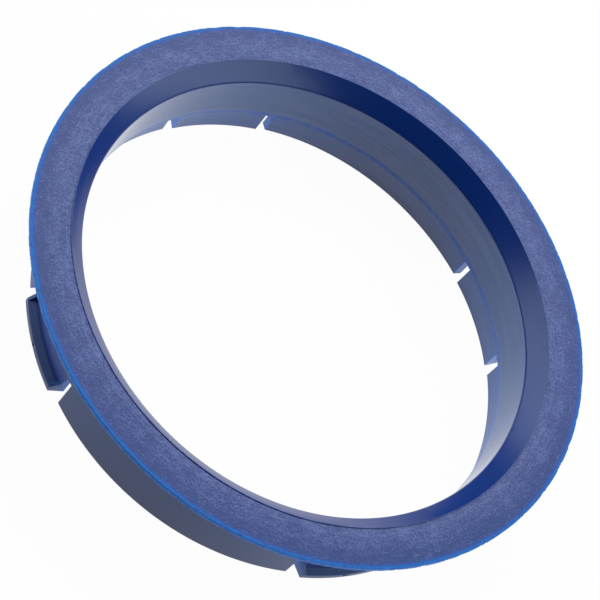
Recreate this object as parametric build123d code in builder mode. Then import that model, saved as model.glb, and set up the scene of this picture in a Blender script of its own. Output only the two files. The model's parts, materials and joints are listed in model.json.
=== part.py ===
"""Hub centric ring: one moulded adapter ring between a car's hub and a wheel with a larger centre bore.

The ring stands on the rear edge of its skirt. +Z points out of the flange face, and Z is the ring's axis.
All sizes are in millimetres.
"""
from build123d import *
from math import radians, tan
import os

# Bore, the part that fits the hub
hub_bore_diameter = 65.1
bore_chamfer_width = 2.25
bore_chamfer_depth = 2.3
bore_exit_length = 1.1
bore_exit_step = 0.05

# Skirt, the part that fits the wheel
relief_step = 1.3
skirt_wall = 1.2
skirt_height = 5.0
seat_length = 4.1

# Flange, a cone that seats in the chamfer of the wheel's bore
flange_overhang = 5.25
flange_cone_angle = 45.0
rim_thickness = 0.65

# Snap tabs, sprung walls between two slits with a lip on the outside
tab_count = 4
tab_width = 13.1
tab_side_draft = 7.5
tab_inset = 0.25
tab_wall = 0.95
tab_root_fillet = 0.25
slit_width = 1.75

# Lip on each tab, closed at its two ends by a thin gusset
lip_overhang = 0.65
lip_thickness = 0.85
lip_ramp = 0.3
gusset_width = 0.45
lip_notch_width = 1.0
lip_notch_depth = 0.2

# Radii from the axis outwards
bore_radius = hub_bore_diameter / 2
face_inner_radius = bore_radius + bore_chamfer_width
relief_radius = bore_radius + relief_step
seat_radius = relief_radius + skirt_wall
flange_radius = seat_radius + flange_overhang
tab_inner_radius = relief_radius - tab_inset
tab_outer_radius = tab_inner_radius + tab_wall
lip_radius = seat_radius + lip_overhang
lip_reach = lip_radius - tab_outer_radius

# Heights from the rear edge upwards
cone_bottom = skirt_height + seat_length
cone_top = cone_bottom + flange_overhang / tan(radians(flange_cone_angle))
face_height = cone_top + rim_thickness
land_top = face_height - bore_chamfer_depth
land_bottom = skirt_height + bore_exit_length

# Half widths of a tab and of its window, square to the tab's middle plane
tab_half = tab_width / 2
window_half = tab_half + slit_width
draft_slope = tan(radians(tab_side_draft))

# Sections are drawn on the far side, so that the seam of each turned face misses the tab at +X
section_plane = Plane(origin=(0, 0, 0), x_dir=(-1, 0, 0), z_dir=(0, 1, 0))


def tab_outline(inset):
    """Corners of a tab seen along the axis, narrowing outwards, with its two sides moved in by inset."""
    reach = lip_radius + lip_overhang
    narrow = tab_half - (reach - tab_outer_radius) * draft_slope - inset
    wide = tab_half + tab_outer_radius * draft_slope - inset
    return [(0, -wide), (reach, -narrow), (reach, narrow), (0, wide)]


# Gussets: a 45 degree web at each end of the lip
with BuildPart() as gusset:
    with BuildSketch(section_plane):
        with BuildLine():
            Polyline(
                (tab_outer_radius - tab_wall / 2, lip_thickness / 2),
                (lip_radius, lip_thickness / 2),
                (lip_radius, lip_thickness),
                (tab_outer_radius, lip_thickness + lip_reach),
                (tab_outer_radius - tab_wall / 2, lip_thickness + lip_reach),
                close=True,
            )
        make_face()
    revolve(axis=Axis.Z)
    with BuildSketch(Plane.XY):
        Polygon(*tab_outline(gusset_width), align=None)
    extrude(amount=skirt_height, mode=Mode.SUBTRACT)

# One tab at +X: turned wall and lip, cut to width by its two drafted sides
with BuildPart() as tab:
    with BuildSketch(section_plane):
        with BuildLine():
            Polyline(
                (tab_inner_radius, 0),
                (lip_radius, 0),
                (lip_radius, lip_thickness),
                (tab_outer_radius, lip_thickness + lip_ramp),
                (tab_outer_radius, skirt_height),
                (tab_inner_radius, skirt_height),
                close=True,
            )
        make_face()
    revolve(axis=Axis.Z)
    add(gusset.part)
    with BuildSketch(Plane.XY):
        Polygon(*tab_outline(0), align=None)
    extrude(amount=skirt_height, mode=Mode.INTERSECT)
    with BuildSketch(Plane.XY):
        with Locations((lip_radius, 0)):
            Polygon(
                (-lip_notch_depth, 0),
                (lip_notch_depth, -lip_notch_width),
                (lip_notch_depth, lip_notch_width),
                align=None,
            )
    extrude(amount=skirt_height, mode=Mode.SUBTRACT)

# Ring: flange, bore and skirt turned in one section, then a window cut for each tab
with BuildPart() as centering_ring:
    with BuildSketch(section_plane):
        with BuildLine():
            Polyline(
                (relief_radius, 0),
                (seat_radius, 0),
                (seat_radius, cone_bottom),
                (flange_radius, cone_top),
                (flange_radius, face_height),
                (face_inner_radius, face_height),
                (bore_radius, land_top),
                (bore_radius, land_bottom),
                (bore_radius + bore_exit_step, skirt_height),
                (relief_radius, skirt_height),
                close=True,
            )
        make_face()
    revolve(axis=Axis.Z)
    with BuildSketch(Plane.XY):
        with PolarLocations(0, tab_count):
            Rectangle(flange_radius, 2 * window_half, align=(Align.MIN, Align.CENTER))
    extrude(amount=skirt_height, mode=Mode.SUBTRACT)
    with PolarLocations(0, tab_count):
        add(tab.part)

    # Rounded corners where the tabs spring from the ring
    root_edges = [
        edge
        for edge in centering_ring.edges().filter_by(GeomType.CIRCLE)
        if abs(edge.center().Z - skirt_height) < tab_root_fillet
        and min(abs(edge.radius - tab_inner_radius), abs(edge.radius - tab_outer_radius)) < tab_root_fillet
    ]
    fillet(root_edges, radius=tab_root_fillet)

os.makedirs("parts", exist_ok=True)
centering_ring.part.label = "centering_ring"
export_step(centering_ring.part, "parts/centering_ring.step")
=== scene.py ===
"""Looks of the hub centric ring: a fine mesh of the moulding, its blue plastic, a floor, light and a camera.

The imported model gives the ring's place and its fitting sizes. The mesh repeats the ring's section at its true
size and adds what a moulding has beyond it: broken edges, a burr along the face's inner edge and a ragged
flash along the rim. Lengths are in millimetres, apart from the floor and the lights, which are in metres.
"""
import json
import random
from collections import namedtuple
from math import asin, ceil, cos, hypot, pi, radians, sin, sqrt, tan

import bmesh
import bpy
from mathutils import Matrix, Vector


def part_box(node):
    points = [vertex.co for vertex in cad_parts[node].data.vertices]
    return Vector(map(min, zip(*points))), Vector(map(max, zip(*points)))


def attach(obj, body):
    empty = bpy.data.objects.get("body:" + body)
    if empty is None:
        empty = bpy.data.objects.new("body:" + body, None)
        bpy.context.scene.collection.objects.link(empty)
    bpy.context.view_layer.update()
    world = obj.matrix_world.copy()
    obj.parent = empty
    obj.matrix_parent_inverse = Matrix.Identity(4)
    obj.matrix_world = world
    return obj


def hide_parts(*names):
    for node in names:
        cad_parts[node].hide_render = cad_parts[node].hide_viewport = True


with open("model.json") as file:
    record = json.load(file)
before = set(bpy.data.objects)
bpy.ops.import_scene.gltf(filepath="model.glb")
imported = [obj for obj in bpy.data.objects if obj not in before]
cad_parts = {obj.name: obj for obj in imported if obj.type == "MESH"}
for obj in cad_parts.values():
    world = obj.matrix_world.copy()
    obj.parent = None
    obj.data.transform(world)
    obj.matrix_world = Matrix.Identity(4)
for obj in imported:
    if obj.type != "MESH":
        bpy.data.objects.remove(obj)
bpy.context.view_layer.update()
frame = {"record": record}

MM = 0.001
NODE = "centering_ring"
SLOT = "blue_plastic"

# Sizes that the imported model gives
mounts = {mount["name"]: mount for mount in frame["record"]["mounts"]}
node_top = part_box(NODE)[1] / MM
flange_radius = node_top.x
face_height = node_top.z
bore_radius = mounts["hub_bore"]["dims"]["r_mm"]
land_middle = mounts["hub_bore"]["pos_m"][2] / MM
land_half = mounts["hub_bore"]["dims"]["length_mm"] / 2
seat_radius = mounts["wheel_seat"]["dims"]["r_mm"]
seat_middle = mounts["wheel_seat"]["pos_m"][2] / MM
seat_half = mounts["wheel_seat"]["dims"]["length_mm"] / 2

# Sizes of the section
bore_chamfer_width = 2.25
bore_exit_step = 0.05
relief_step = 1.3

# Sizes of the snap tabs
tab_count = 4
tab_half = 6.55
tab_side_draft = radians(7.5)
tab_inset = 0.25
tab_wall = 0.95
tab_root_fillet = 0.25
slit_width = 1.75
lip_overhang = 0.65
lip_thickness = 0.85
lip_ramp = 0.3
gusset_width = 0.45
lip_notch_half = 0.5
lip_notch_depth = 0.2

# Radii and heights worked out from them
face_inner_radius = bore_radius + bore_chamfer_width
exit_radius = bore_radius + bore_exit_step
relief_radius = bore_radius + relief_step
tab_inner_radius = relief_radius - tab_inset
tab_outer_radius = tab_inner_radius + tab_wall
lip_radius = seat_radius + lip_overhang
lip_reach = lip_radius - tab_outer_radius
land_top = land_middle + land_half
land_bottom = land_middle - land_half
skirt_height = seat_middle - seat_half
cone_bottom = seat_middle + seat_half
cone_top = cone_bottom + flange_radius - seat_radius
window_half = tab_half + slit_width

# Broken edges of the moulding, the steps that each is made of, and the digits that its points are rounded to
edge_round = 0.06
rim_round = 0.06
burr_round = 0.03
bore_edge_round = 0.25
cone_root_round = 0.4
round_steps = 4
point_digits = 6

# Burr along the face's inner edge: its height, and how far out its top, its foot and the dip beside it end
burr_height = 0.11
burr_top = 0.1
burr_foot = 0.12
burr_dip = 1.3

# Flash along the rim: how deep its nicks are, how far in they reach, and the waves that it is summed from
flash_depth = 0.12
flash_reach = 0.7
flash_waves = 60
flash_wave_counts = (40, 600)
flash_gain = 0.35
flash_seed = 11

# Mesh: the distance between columns of vertices, and the angle between two faces that makes a hard edge
column_spacing = 0.17
hard_angle = radians(30)

# Reach of a finish: its share of the rounding at its end, and a margin below the burr's foot
finish_share = 0.9
finish_margin = 0.011

# Grains of the plastic, each by its lengths along three axes, and the turns of its two straight fibres
first_fibre = (0.3, 1.0, 0.3)
second_fibre = (0.3, 0.8, 0.3)
circling_fibre = (0.3, 2.0, 2.0)
fine_grain = (0.25, 0.25, 0.25)
cloud_grain = (2.0, 2.0, 2.0)
drawn_grain = (13, 13, 0.24)
patch_grain = (0.55, 0.55, 0.55)
first_fibre_turn = radians(80)
second_fibre_turn = radians(20)

# Bands of colour, each from where it starts to where it is full: inwards from the rim
border_band = (3.4, 1.2)
# The halo and edge bands hold a painted glow along the thin rim, as if light came through it
halo_glow_band = (1.6, 0.7)
halo_raggedness = 1.3
edge_glow_band = (0.48, 0.2)

# Bands of colour by height: from the face, from the skirt's top and from the upper end of a lip's slope
# Painted glow on the rim's side, below the face
rim_side_glow_band = (-0.005, -0.05)
# The bore's exit: a rougher wall, with a painted glow in patches
exit_band = (1.05, 0.5)
# Painted shade in the corner above a lip's slope
corner_shade_band = (1.0, 0.3)

# Bands of colour by radius: from a tab's inner wall and from its outer wall
# Painted glow on a cut side near the bore, as if light came through the thin tab
strip_glow_band = (0.6, 0.25)
# Painted light on a lip's slope, which lies in the flange's shade
ramp_light_band = (0.05, 0.2)

# Floor, in metres: half its width, its gap below the ring, and the distances over which a gloss sees it white
floor_half = 3.0
floor_gap = 0.02 * MM
gloss_far = 0.3
gloss_near = 0.05

# Distance of the lights from the ring's middle, in metres
box_distance = 0.6

# Camera, set to the photograph: direction in degrees, roll, distance from the face, aim and nearest sight
camera_azimuth = 217.5
camera_elevation = 50.48
camera_roll = radians(42.856)
camera_distance = 275.23
aim_right = -2.824
aim_up = -2.415
camera_near = 10


def rounded(corners):
    """Points of a section line whose corners are (radius from the axis, height, size of rounding)."""
    points = []
    for index, (radius, height, size) in enumerate(corners):
        corner = Vector((radius, height))
        if size == 0:
            points.append(corner)
            continue
        to_last = (Vector(corners[index - 1][:2]) - corner).normalized() * size
        to_next = (Vector(corners[index + 1][:2]) - corner).normalized() * size
        for step in range(round_steps + 1):
            share = step / round_steps
            points.append(corner + (1 - share) ** 2 * to_last + share**2 * to_next)
    return [(round(point.x, point_digits), round(point.y, point_digits)) for point in points]


def section_loops():
    """Closed sections of the ring: through the plain skirt, a slit, a tab's lip and a gusset at its end."""
    over_the_top = [
        (seat_radius, skirt_height, 0),
        (seat_radius, cone_bottom, cone_root_round),
        (flange_radius, cone_top, rim_round),
        (flange_radius, face_height, rim_round),
        (face_inner_radius + burr_dip, face_height, edge_round),
        (face_inner_radius + burr_foot, face_height - burr_height, 0),
        (face_inner_radius + burr_top, face_height, burr_round),
        (face_inner_radius, face_height, burr_round),
        (bore_radius, land_top, bore_edge_round),
        (bore_radius, land_bottom, edge_round),
        (exit_radius, skirt_height, 0),
    ]
    shoulder_in = (tab_inner_radius - tab_root_fillet, skirt_height, 0)
    shoulder_out = (tab_outer_radius + tab_root_fillet, skirt_height, 0)
    relief_top = (relief_radius, skirt_height, 0)
    inner_end = (exit_radius, skirt_height, 0)
    outer_end = (seat_radius, skirt_height, 0)

    slit = [inner_end, shoulder_in, relief_top, shoulder_out, outer_end]
    skirt = [
        inner_end,
        shoulder_in,
        relief_top,
        (relief_radius, 0, edge_round),
        (seat_radius, 0, edge_round),
        outer_end,
    ]
    tab_inside = [
        inner_end,
        (tab_inner_radius, skirt_height, tab_root_fillet),
        (tab_inner_radius, 0, edge_round),
        (lip_radius, 0, edge_round),
    ]
    tab_outside = [
        (tab_outer_radius, lip_thickness + lip_reach, 0),
        (tab_outer_radius, skirt_height, tab_root_fillet),
        outer_end,
    ]
    lip = tab_inside + [
        (lip_radius, lip_thickness, edge_round),
        (tab_outer_radius, lip_thickness + lip_ramp, edge_round),
    ] + tab_outside
    gusset = tab_inside + [(lip_radius, lip_thickness, edge_round)] + tab_outside

    top = rounded(over_the_top)
    return {
        name: top + rounded(line)[1:-1]
        for name, line in {"slit": slit, "skirt": skirt, "lip": lip, "gusset": gusset}.items()
    }


def window_side(radius):
    """Angle between a tab's middle and the plain wall beside its slit."""
    return asin(window_half / radius)


def tab_side(radius, inset=0.0):
    """Angle between a tab's middle and its drafted side, or a line that lies inside the side by inset."""
    reach = tab_half + tan(tab_side_draft) * tab_outer_radius - inset
    return asin(reach * cos(tab_side_draft) / radius) - tab_side_draft


def gusset_side(radius):
    """Angle between a tab's middle and the inner side of a gusset."""
    return tab_side(radius, gusset_width)


def tab_middle(radius):
    """Angle of a tab's middle from itself, at any radius."""
    return 0.0


# A line seen along the axis, at which the section changes, and the section that follows it
Change = namedtuple("Change", "turn sign offset section")


def section_changes():
    """Every change of section, once round the ring and back to the first."""
    around_tab = [
        (-1, window_side, "slit"),
        (-1, tab_side, "gusset"),
        (-1, gusset_side, "lip"),
        (1, tab_middle, "lip"),
        (1, gusset_side, "gusset"),
        (1, tab_side, "slit"),
        (1, window_side, "skirt"),
    ]
    turns = [2 * pi * index / tab_count for index in range(tab_count)]
    changes = [Change(turn, *change) for turn in turns for change in around_tab]
    return changes + [changes[0]._replace(turn=2 * pi)]


def angle_at(change, radius):
    """Where a change of section lies at a radius."""
    return change.turn + change.sign * change.offset(radius)


# One slice of the ring: the two changes of section around it, its share of the way, and its two sections
Column = namedtuple("Column", "start end share before after")


def ring_columns(changes):
    """Columns of vertices, closely and evenly spaced between each change of section and the next."""
    columns = []
    before = changes[-2].section
    for start, end in zip(changes, changes[1:]):
        width = (angle_at(end, flange_radius) - angle_at(start, flange_radius)) * flange_radius
        count = ceil(width / column_spacing)
        for index in range(count):
            columns.append(Column(start, end, index / count, before, start.section))
            before = start.section
    return columns


def flash_noise():
    """A ragged depth from 0 to 1 as a function of the angle round the ring, the same on each run."""
    draw = random.Random(flash_seed)
    low, high = flash_wave_counts
    waves = []
    for _ in range(flash_waves):
        count = round(low * (high / low) ** draw.random())
        waves.append((count, draw.uniform(0, 2 * pi)))
    level = sqrt(flash_waves / 2)

    def depth(angle):
        total = sum(sin(count * angle + phase) for count, phase in waves) / level
        return min(max(flash_gain * total, 0.0), 1.0)

    return depth


def rim_distance(radius, height):
    """Distance in the section from the rim's side."""
    below = max(0.0, cone_top - height)
    return hypot(flange_radius - radius, below)


def notch_depth(angle):
    """Depth of the small notch in the middle of each lip."""
    pitch = 2 * pi / tab_count
    from_middle = abs((angle + pitch / 2) % pitch - pitch / 2) * lip_radius
    return lip_notch_depth * max(0.0, 1 - from_middle / lip_notch_half)


def place(column, point, flash):
    """Where a section point lies in a column, in millimetres."""
    radius, height = point
    start, end = angle_at(column.start, radius), angle_at(column.end, radius)
    angle = start + (end - start) * column.share
    near_rim = max(0.0, 1 - rim_distance(radius, height) / flash_reach)
    radius -= flash_depth * near_rim * flash(angle)
    if radius > lip_radius - edge_round / 2 and height < skirt_height:
        radius -= notch_depth(angle)
    return Vector((radius * cos(angle), radius * sin(angle), height))


def side_walls(first, second):
    """Outlines that close the step between two sections, each a list of section points."""
    shared = set(first) & set(second)
    start = next(i for i, point in enumerate(first) if point in shared)
    first = first[start:] + first[: start + 1]
    turn = second.index(first[0])
    second = second[turn:] + second[: turn + 1]
    walls = []
    last = 0
    for index in range(1, len(first)):
        if first[index] not in shared:
            continue
        low, high = second.index(first[last]), second.index(first[index], 1)
        one_way, other_way = first[last : index + 1], second[low + 1 : high]
        if len(one_way) > 2 or other_way:
            walls.append(one_way + other_way[::-1])
        last = index
    return walls


# Where a vertex lies, each from 0 to 1; lip_recess and slit_side also mark where painted light and shade go
Finish = namedtuple("Finish", "flat_face bore_chamfer inner_wall lip_recess slit_side")


def finish_of(point, tab_points, is_cut):
    """Finish of a section point. tab_points are those that only the tabs have."""
    radius, height = point
    in_recess = tab_outer_radius - edge_round < radius < lip_radius - finish_share * edge_round
    above_land = height > land_top - finish_share * bore_edge_round
    above_foot = height > face_height - burr_height - finish_margin
    on_face = above_foot and radius > face_inner_radius - burr_round / 2
    return Finish(
        flat_face=float(on_face),
        bore_chamfer=float(above_land and not on_face and radius < face_inner_radius),
        inner_wall=float(not above_land and radius < relief_radius + edge_round),
        lip_recess=float(point in tab_points and in_recess),
        slit_side=float(is_cut),
    )


def ring_mesh():
    """The moulding as one closed mesh, with its finishes as attributes of the vertices."""
    loops = section_loops()
    tab_points = {*loops["lip"], *loops["gusset"]} - {*loops["skirt"], *loops["slit"]}
    columns = ring_columns(section_changes())
    flash = flash_noise()
    places, numbers = [], {}

    def vertex(index, point):
        key = (index % len(columns), point)
        if key not in numbers:
            numbers[key] = len(places)
            places.append(place(columns[key[0]], point, flash) * MM)
        return numbers[key]

    faces, cut_sides = [], set()
    for index, column in enumerate(columns):
        loop = loops[column.after]
        for point, following in zip(loop, loop[1:] + loop[:1]):
            corners = [(index, point), (index + 1, point), (index + 1, following), (index, following)]
            faces.append([vertex(*corner) for corner in corners])
        if column.before != column.after:
            for wall in side_walls(loops[column.before], loop):
                faces.append([vertex(index, point) for point in wall])
                cut_sides.update(faces[-1])

    mesh = bpy.data.meshes.new("moulded_ring")
    mesh.from_pydata(places, [], faces)
    finishes = [finish_of(point, tab_points, number in cut_sides) for (_, point), number in numbers.items()]
    for name, values in zip(Finish._fields, zip(*finishes)):
        layer = mesh.attributes.new(name, "FLOAT", "POINT")
        layer.data.foreach_set("value", values)
    smooth_by_angle(mesh, hard_angle)
    return mesh


def smooth_by_angle(mesh, limit):
    """Turns all faces outwards and shades them smooth, with a hard edge where two meet at more than limit."""
    shape = bmesh.new()
    shape.from_mesh(mesh)
    bmesh.ops.recalc_face_normals(shape, faces=shape.faces)
    for face in shape.faces:
        face.smooth = True
    for edge in shape.edges:
        edge.smooth = edge.calc_face_angle(pi) < limit
    shape.to_mesh(mesh)
    shape.free()


def add_node(tree, kind, inputs=None, **settings):
    """A shader node with its settings made. An input is a value, or an output socket to link."""
    node = tree.nodes.new(kind)
    for name, value in settings.items():
        setattr(node, name, value)
    for name, value in (inputs or {}).items():
        if isinstance(value, bpy.types.NodeSocket):
            tree.links.new(value, node.inputs[name])
        else:
            node.inputs[name].default_value = value
    return node


def new_material(name):
    """An empty node material, its tree and its output node."""
    material = bpy.data.materials.new(name)
    material.use_nodes = True
    tree = material.node_tree
    tree.nodes.clear()
    return material, tree, add_node(tree, "ShaderNodeOutputMaterial")


def calculate(tree, operation, first, *others):
    """Output of a Math node, or of a row of them where there are more than two values."""
    result = first
    for other in others:
        inputs = {0: result, 1: other}
        result = add_node(tree, "ShaderNodeMath", inputs, operation=operation).outputs[0]
    return result


def blend_colours(tree, share, first, second):
    """Output of a colour mix."""
    inputs = {"Factor": share, 6: first, 7: second}
    return add_node(tree, "ShaderNodeMix", inputs, data_type="RGBA").outputs[2]


def blend_values(tree, share, first, second):
    """Output of a mix of two numbers."""
    inputs = {"Factor": share, 2: first, 3: second}
    return add_node(tree, "ShaderNodeMix", inputs, data_type="FLOAT").outputs[0]


def layered(tree, blend, ground, layers):
    """A colour or number with others laid over it in order, each given as (share, colour or number)."""
    for share, layer in layers:
        ground = blend(tree, share, ground, layer)
    return ground


def noise(tree, where, grain, detail, turn=0.0):
    """Noise whose grains have the given three lengths in millimetres, along axes turned about Z."""
    unevenness = 0.6
    inputs = {"Vector": where, "Rotation": (0, 0, turn), "Scale": Vector(grain) * MM}
    mapped = add_node(tree, "ShaderNodeMapping", inputs, vector_type="TEXTURE").outputs[0]
    inputs = {"Vector": mapped, "Scale": 1.0, "Detail": detail, "Roughness": unevenness}
    return add_node(tree, "ShaderNodeTexNoise", inputs).outputs["Fac"]


def spread(tree, value, low, high):
    """A value stretched so that low becomes 0 and high becomes 1, with soft ends."""
    inputs = {"Value": value, "From Min": low, "From Max": high}
    return add_node(tree, "ShaderNodeMapRange", inputs, interpolation_type="SMOOTHSTEP").outputs[0]


def fade(tree, length, band, origin=0.0):
    """Share of a band, whose start and full end are in millimetres from origin, along a length in metres."""
    start, full = band
    return spread(tree, length, (origin + start) * MM, (origin + full) * MM)


# Where a shaded point lies: its place, the same with the radius first, and lengths read from it
Spot = namedtuple("Spot", "where around radius height from_rim")


def shaded_spot(tree):
    """Where a shaded point lies on the ring, in metres."""
    where = add_node(tree, "ShaderNodeTexCoord").outputs["Object"]
    x, y, height = add_node(tree, "ShaderNodeSeparateXYZ", {"Vector": where}).outputs
    level = add_node(tree, "ShaderNodeCombineXYZ", {"X": x, "Y": y}).outputs[0]
    radius = add_node(tree, "ShaderNodeVectorMath", {0: level}, operation="LENGTH").outputs["Value"]
    around = add_node(tree, "ShaderNodeCombineXYZ", {"X": radius, "Y": x, "Z": y}).outputs[0]
    from_rim = calculate(tree, "SUBTRACT", flange_radius * MM, radius)
    return Spot(where, around, radius, height, from_rim)


# Parts of the surface, each a share from 0 to 1: the finishes of the vertices, then the bands of colour, of
# which exit_patches, strip, halo, edge and rim_side hold painted glow
band_names = ("land", "exit", "exit_patches", "strip", "halo", "edge", "rim_side")
Zones = namedtuple("Zones", Finish._fields + band_names)


def surface_zones(tree, spot, patches):
    """Parts of the surface that a shaded point lies in, with the bands of painted glow. Patches break up the
    bore's exit and the rim.
    """
    exit_patch_levels = (0.25, 0.7)
    edge_patch_levels = (0.8, 0.35)
    attributes = [add_node(tree, "ShaderNodeAttribute", attribute_name=name) for name in Finish._fields]
    finish = Finish(*(attribute.outputs["Fac"] for attribute in attributes))

    land = calculate(tree, "GREATER_THAN", spot.height, skirt_height * MM)
    # The bore's exit makes the wall rougher, and its patches hold a painted glow
    above_skirt = fade(tree, spot.height, exit_band, skirt_height)
    exit_share = calculate(tree, "MULTIPLY", above_skirt, land, finish.inner_wall)
    exit_patches = calculate(tree, "MULTIPLY", exit_share, spread(tree, patches, *exit_patch_levels))

    # Painted glow on a cut side near the bore
    near_bore = fade(tree, spot.radius, strip_glow_band, tab_inner_radius)
    strip = calculate(tree, "MULTIPLY", finish.slit_side, near_bore)

    # Painted glow along the thin rim: a ragged halo, a brighter edge and the rim's side
    raggedness = calculate(tree, "MULTIPLY", patches, halo_raggedness * MM)
    halo = fade(tree, calculate(tree, "ADD", spot.from_rim, raggedness), halo_glow_band)
    edge_patches = spread(tree, patches, *edge_patch_levels)
    edge = calculate(tree, "MULTIPLY", fade(tree, spot.from_rim, edge_glow_band), edge_patches)
    below_face = fade(tree, spot.height, rim_side_glow_band, face_height)
    rim_side = calculate(tree, "MULTIPLY", edge, below_face)
    return Zones(*finish, land, exit_share, exit_patches, strip, halo, edge, rim_side)


def face_mottle(tree, spot, grain):
    """Fibres that show in the face, from 0 where it is dark to 1 where it is light, and fewer by the rim."""
    fibre_detail = 3.0
    fibre_gain = 1.5
    cloud_detail = 2.0
    cloud_gain = 0.6
    border_gain = -0.19
    mottle_levels = (1.34, 2.04)
    first = noise(tree, spot.where, first_fibre, fibre_detail, first_fibre_turn)
    second = noise(tree, spot.where, second_fibre, fibre_detail, second_fibre_turn)
    circling = noise(tree, spot.around, circling_fibre, fibre_detail)
    fibres = calculate(tree, "MAXIMUM", first, second, circling)
    fibres = calculate(tree, "MULTIPLY", fibres, fibre_gain)
    clouds = noise(tree, spot.where, cloud_grain, cloud_detail)
    clouds = calculate(tree, "MULTIPLY", clouds, cloud_gain)
    border = calculate(tree, "MULTIPLY", fade(tree, spot.from_rim, border_band), border_gain)
    mottle = calculate(tree, "ADD", fibres, grain, clouds, border)
    return spread(tree, mottle, *mottle_levels)


def recess_colour(tree, spot):
    """Colour behind a lip, painted for the flange's shade: a wall painted lighter, painted shade in the corner
    above the lip's slope and painted light on the slope itself.
    """
    # Painted light and shade, since the recess lies in the flange's shade
    recess_painted_light_blue = (0.06, 0.1, 0.33, 1)
    corner_painted_shade_blue = (0.03, 0.05, 0.2, 1)
    ramp_painted_light_blue = (0.08, 0.112, 0.24, 1)
    corner = fade(tree, spot.height, corner_shade_band, lip_thickness + lip_ramp)
    ramp = fade(tree, spot.radius, ramp_light_band, tab_outer_radius)
    return layered(tree, blend_colours, recess_painted_light_blue, [(corner, corner_painted_shade_blue), (ramp, ramp_painted_light_blue)])


def plastic_colour(tree, spot, zones, mottle):
    """Colour of the plastic. Thin edges, cut sides and the bore's exit are painted brighter, where light would
    come through them, and the recess behind a lip has painted light and shade.
    """
    skirt_blue = (0.008, 0.05, 0.2, 1)
    chamfer_blue = (0.003, 0.029, 0.182, 1)
    land_blue = (0.01, 0.084, 0.275, 1)
    relief_blue = (0.012, 0.12, 0.39, 1)
    # Painted glow in patches at the bore's exit, as if light came through the plastic
    exit_glow_blue = (0.004, 0.128, 0.54, 1)
    face_dark = (0.004, 0.035, 0.192, 1)
    face_light = (0.065, 0.107, 0.322, 1)
    # Painted light on the cut sides and a brighter painted glow near the bore, as if light came through the
    # thin walls
    slit_side_glow_blue = (0.05, 0.14, 0.42, 1)
    strip_glow_blue = (0.004, 0.26, 0.8, 1)
    # Painted glow on the thin rim: its halo, its edge and its side
    halo_glow_blue = (0.01, 0.1, 0.46, 1)
    rim_edge_glow_blue = (0.02, 0.18, 0.52, 1)
    rim_side_glow_blue = (0.05, 0.2, 0.64, 1)
    layers = [
        (zones.bore_chamfer, chamfer_blue),
        (zones.flat_face, blend_colours(tree, mottle, face_dark, face_light)),
        (zones.inner_wall, blend_colours(tree, zones.land, relief_blue, land_blue)),
        # Painted light and shade in the recess behind each lip
        (zones.lip_recess, recess_colour(tree, spot)),
        (zones.exit_patches, exit_glow_blue),
        (zones.slit_side, slit_side_glow_blue),
        (zones.strip, strip_glow_blue),
        (zones.halo, halo_glow_blue),
        (zones.edge, rim_edge_glow_blue),
        (zones.rim_side, rim_side_glow_blue),
    ]
    return layered(tree, blend_colours, skirt_blue, layers)


def plastic_roughness(tree, zones, mottle):
    """Roughness of the plastic, lowest on the bore's wall and highest between the fibres of the face."""
    skirt_roughness = 0.36
    chamfer_roughness = 0.29
    wall_roughness = 0.12
    exit_roughness = 0.3
    dark_roughness = 0.46
    light_roughness = 0.36
    layers = [
        (zones.bore_chamfer, chamfer_roughness),
        (zones.inner_wall, blend_values(tree, zones.exit, wall_roughness, exit_roughness)),
        (zones.flat_face, blend_values(tree, mottle, dark_roughness, light_roughness)),
    ]
    return layered(tree, blend_values, skirt_roughness, layers)


def plastic_refraction(tree, zones, drawn):
    """Index of refraction, which sets how much a part of the surface mirrors. The bore's wall is streaked."""
    skirt_index = 1.5
    chamfer_index = 1.43
    face_index = 1.45
    wall_indices = (1.57, 1.69)
    drawn_levels = (0.35, 0.65)
    exit_index = 1.38
    recess_index = 1.28
    strip_index = 1.3
    halo_index = 1.3
    edge_index = 1.15
    rim_side_index = 1.25
    streaks = spread(tree, drawn, *drawn_levels)
    layers = [
        (zones.bore_chamfer, chamfer_index),
        (zones.flat_face, face_index),
        (zones.inner_wall, blend_values(tree, streaks, *wall_indices)),
        (zones.exit_patches, exit_index),
        (zones.lip_recess, recess_index),
        (zones.strip, strip_index),
        (zones.halo, halo_index),
        (zones.edge, edge_index),
        (zones.rim_side, rim_side_index),
    ]
    return layered(tree, blend_values, skirt_index, layers)


def plastic_bump(tree, zones, mottle, drawn, grain):
    """Normal of the plastic: raised fibres on the face, drawn lines and a fine grain elsewhere."""
    grain_share = 0.2
    bump_strength = 0.25
    bump_height = 0.04
    lines = calculate(tree, "ADD", drawn, calculate(tree, "MULTIPLY", grain, grain_share))
    heights = blend_values(tree, zones.flat_face, lines, mottle)
    inputs = {"Height": heights, "Strength": bump_strength, "Distance": bump_height * MM}
    return add_node(tree, "ShaderNodeBump", inputs).outputs[0]


def plastic_material():
    """Fibre-filled blue plastic: a mottled face, smooth walls, a drawn bore and a painted glow on thin edges.
    """
    grain_detail = 1.0
    drawn_detail = 1.0
    patch_detail = 3.0
    material, tree, output = new_material(SLOT)
    spot = shaded_spot(tree)
    grain = noise(tree, spot.where, fine_grain, grain_detail)
    drawn = noise(tree, spot.where, drawn_grain, drawn_detail)
    patches = noise(tree, spot.where, patch_grain, patch_detail)
    mottle = face_mottle(tree, spot, grain)
    zones = surface_zones(tree, spot, patches)
    inputs = {
        "Base Color": plastic_colour(tree, spot, zones, mottle),
        "Roughness": plastic_roughness(tree, zones, mottle),
        "IOR": plastic_refraction(tree, zones, drawn),
        "Normal": plastic_bump(tree, zones, mottle, drawn, grain),
    }
    plastic = add_node(tree, "ShaderNodeBsdfPrincipled", inputs)
    tree.links.new(plastic.outputs[0], output.inputs["Surface"])
    return material


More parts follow.
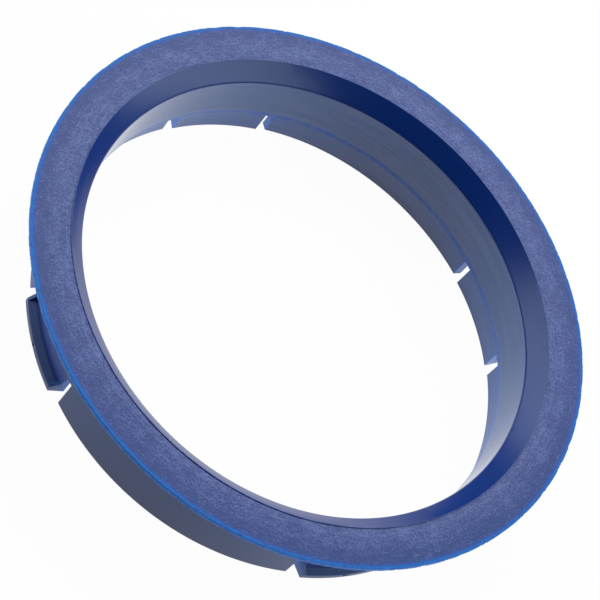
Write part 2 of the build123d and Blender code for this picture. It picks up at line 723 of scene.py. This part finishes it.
def make_ring():
    """The ring itself, in place of the plain solid."""
    ring = bpy.data.objects.new("moulded_ring", ring_mesh())
    bpy.context.scene.collection.objects.link(ring)
    ring.data.materials.append(plastic_material())
    flat_walls = ring.modifiers.new("flat_walls", "WEIGHTED_NORMAL")
    flat_walls.keep_sharp = True
    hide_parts(NODE)
    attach(ring, "root")


def floor_material():
    """White where the camera or a near gloss sees it, with a faint shadow, and plain white to other light."""
    shadow_share = 0.03
    pale = (0.95, 0.95, 0.95, 1)
    white = (1, 1, 1, 1)
    material, tree, output = new_material("pale_floor")
    surface = add_node(tree, "ShaderNodeBsdfDiffuse", {"Color": pale})
    glow = add_node(tree, "ShaderNodeEmission", {"Color": white, "Strength": 1.0})
    rays = add_node(tree, "ShaderNodeLightPath").outputs
    where = add_node(tree, "ShaderNodeTexCoord").outputs["Object"]
    distance = add_node(tree, "ShaderNodeVectorMath", {0: where}, operation="LENGTH").outputs["Value"]
    near_ring = spread(tree, distance, gloss_far, gloss_near)
    gloss = calculate(tree, "MULTIPLY", rays["Is Glossy Ray"], near_ring)
    seen = calculate(tree, "MAXIMUM", rays["Is Camera Ray"], gloss, rays["Is Transmission Ray"])
    share = calculate(tree, "MULTIPLY", seen, 1 - shadow_share)
    inputs = {"Fac": share, 1: surface.outputs[0], 2: glow.outputs[0]}
    mixed = add_node(tree, "ShaderNodeMixShader", inputs)
    tree.links.new(mixed.outputs[0], output.inputs["Surface"])
    return material


def make_floor():
    """A wide pale floor that the ring stands on."""
    signs = [(-1, -1), (1, -1), (1, 1), (-1, 1)]
    corners = [(x * floor_half, y * floor_half, -floor_gap) for x, y in signs]
    mesh = bpy.data.meshes.new("floor")
    mesh.from_pydata(corners, [], [(0, 1, 2, 3)])
    mesh.materials.append(floor_material())
    floor = bpy.data.objects.new("floor", mesh)
    bpy.context.scene.collection.objects.link(floor)


def direction(azimuth, elevation):
    """Unit vector towards an azimuth from +X and an elevation above the floor, both in degrees."""
    around, up = radians(azimuth), radians(elevation)
    return Vector((cos(up) * cos(around), cos(up) * sin(around), sin(up)))


def softbox(name, azimuth, elevation, width, height, brightness, tint):
    """A flat soft light, sized in metres, that faces the ring. Brightness is its own, where 1 is white."""
    light = bpy.data.lights.new(name, "AREA")
    light.color = tint
    light.shape = "RECTANGLE"
    light.size = width
    light.size_y = height
    light.energy = brightness * pi * width * height
    lamp = bpy.data.objects.new(name, light)
    towards = direction(azimuth, elevation)
    lamp.location = towards * box_distance
    lamp.rotation_euler = towards.to_track_quat("Z", "Y").to_euler()
    bpy.context.scene.collection.objects.link(lamp)


def make_lights():
    """Soft studio light: a large box behind and above the ring, and one on each side."""
    plain = (1, 1, 1)
    cool = (0.96, 1.11, 1.25)
    softbox("back_box", azimuth=56, elevation=48, width=0.66, height=0.44, brightness=3.4, tint=plain)
    softbox("right_box", azimuth=121, elevation=26, width=0.7, height=0.34, brightness=2.85, tint=cool)
    softbox("left_box", azimuth=317, elevation=26, width=0.78, height=0.34, brightness=2.7, tint=cool)


def make_room():
    """A room that is white to camera and transmission rays, and dim to others."""
    room_light = 0.02
    white = (1, 1, 1, 1)
    world = bpy.data.worlds.new("room")
    world.use_nodes = True
    tree = world.node_tree
    tree.nodes.clear()
    rays = add_node(tree, "ShaderNodeLightPath").outputs
    strength = calculate(tree, "MAXIMUM", rays["Is Camera Ray"], rays["Is Transmission Ray"], room_light)
    room = add_node(tree, "ShaderNodeBackground", {"Color": white, "Strength": strength})
    output = add_node(tree, "ShaderNodeOutputWorld")
    tree.links.new(room.outputs[0], output.inputs["Surface"])
    bpy.context.scene.world = world


def make_camera():
    """A camera at the photograph's viewing angle, rolled so that the ring leans as it does there."""
    camera = bpy.data.cameras.new("camera")
    camera.sensor_width = 36.0
    camera.lens = 125.47
    camera.clip_start = camera_near * MM
    back = direction(camera_azimuth, camera_elevation)
    level = Vector((0, 0, 1)).cross(back).normalized()
    upright = back.cross(level)
    right = level * cos(camera_roll) + upright * sin(camera_roll)
    up = upright * cos(camera_roll) - level * sin(camera_roll)
    place_mm = Vector((0, 0, face_height)) + back * camera_distance + right * aim_right + up * aim_up
    viewer = bpy.data.objects.new("camera", camera)
    axes = Matrix((right, up, back)).transposed()
    viewer.matrix_world = Matrix.Translation(place_mm * MM) @ axes.to_4x4()
    bpy.context.scene.collection.objects.link(viewer)
    bpy.context.scene.camera = viewer


make_ring()
make_floor()
make_lights()
make_room()
make_camera()
bpy.context.scene.view_settings.view_transform = "Standard"
